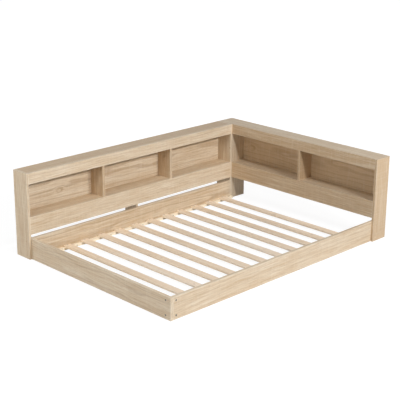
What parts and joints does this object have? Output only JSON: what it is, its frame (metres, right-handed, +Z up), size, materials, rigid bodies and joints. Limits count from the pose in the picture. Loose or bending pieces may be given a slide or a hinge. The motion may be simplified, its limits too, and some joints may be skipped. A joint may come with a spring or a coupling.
{
  "type": "double bed frame",
  "caption": "Low slatted double bed frame in pale oak-look board, with an open bookcase along one side and an open bookcase headboard that meet in an L.",
  "frame": {"origin": "on the floor, in the middle of the whole outline", "axes": "+X across the bed towards its open side, +Y along the bed towards the headboard, +Z up"},
  "size_m": [1.611, 2.211, 0.635],
  "materials": {
    "oak_laminate": "matt pale oak-look laminate",
    "pine": "planed raw pine",
    "beech": "raw turned beech",
    "steel": "zinc-plated",
    "zinc": "die-cast, dull",
    "bracket_steel": "black powder coat"
  },
  "bodies": {
    "root": {"side_foot_end_panel": "oak_laminate", "side_head_end_panel": "oak_laminate", "side_top_board": "oak_laminate", "side_top_apron": "oak_laminate", "side_lower_apron": "oak_laminate", "side_shelf": "oak_laminate", "side_back_panel": "oak_laminate", "side_divider_1": "oak_laminate", "side_divider_2": "oak_laminate", "side_centre_leg": "oak_laminate", "head_wall_end_panel": "oak_laminate", "head_corner_panel": "oak_laminate", "head_open_end_panel": "oak_laminate", "head_top_board": "oak_laminate", "head_top_apron": "oak_laminate", "head_lower_apron": "oak_laminate", "head_shelf": "oak_laminate", "head_back_panel": "oak_laminate", "head_divider": "oak_laminate", "foot_rail": "oak_laminate", "open_side_rail": "oak_laminate", "wall_side_rail": "oak_laminate", "bolt_caps": "oak_laminate", "wall_ledger": "pine", "open_ledger": "pine", "slat_01": "pine", "slat_02": "pine", "slat_03": "pine", "slat_04": "pine", "slat_05": "pine", "slat_06": "pine", "slat_07": "pine", "slat_08": "pine", "slat_09": "pine", "slat_10": "pine", "slat_11": "pine", "apron_dowels": "beech", "upright_dowels": "beech", "rail_dowels": "beech", "slat_screws": "steel", "ledger_screws": "steel", "divider_screws": "steel", "back_panel_screws": "steel", "rail_bolts": "steel", "rail_inserts": "steel", "bracket_nuts": "steel", "link_bolts": "steel", "link_nuts": "steel", "cam_bolts": "steel", "cam_locks": "zinc", "near_corner_bracket": "bracket_steel"}
  },
  "joints": []
}
